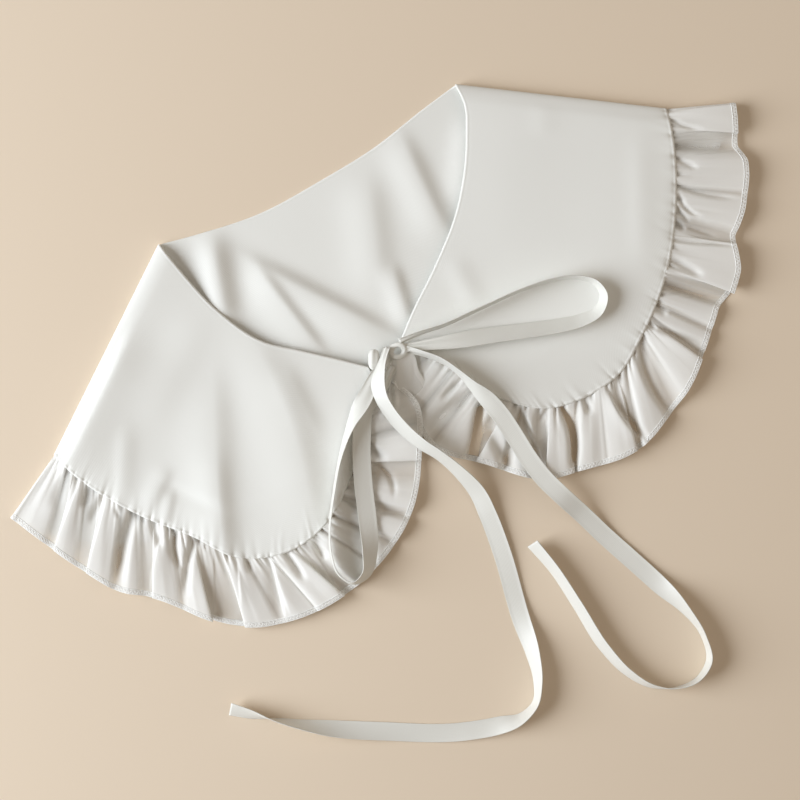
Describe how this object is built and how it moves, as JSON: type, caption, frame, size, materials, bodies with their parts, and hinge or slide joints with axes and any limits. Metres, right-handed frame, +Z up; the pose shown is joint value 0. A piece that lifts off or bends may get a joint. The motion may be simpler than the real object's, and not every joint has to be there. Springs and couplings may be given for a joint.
{
  "type": "false collar",
  "caption": "Detachable false collar with rounded front lobes, a gathered ruffle edge and ribbon ties in a bow, laid flat.",
  "frame": {"origin": "on the surface the collar lies on, under the middle of the box round the collar without its ribbons", "axes": "+X across the collar along the neck, +Y towards the nape edge, +Z up from the surface"},
  "size_m": [0.4568, 0.3516, 0.017],
  "materials": {
    "satin": "off-white polyester satin, matt side out, double layer",
    "voile": "single thin layer of off-white polyester, slightly see-through, overlocked hem",
    "ribbon": "off-white sewn ribbon with stitched edges"
  },
  "bodies": {
    "root": {"back": "satin", "front_left": "satin", "front_right": "satin", "ruffle_back": "voile", "ruffle_front_left": "voile", "ruffle_front_right": "voile", "tie_tail_left": "ribbon", "tie_tail_right": "ribbon", "bow_loop_left": "ribbon", "bow_loop_right": "ribbon", "bow_knot": "ribbon"}
  },
  "joints": []
}
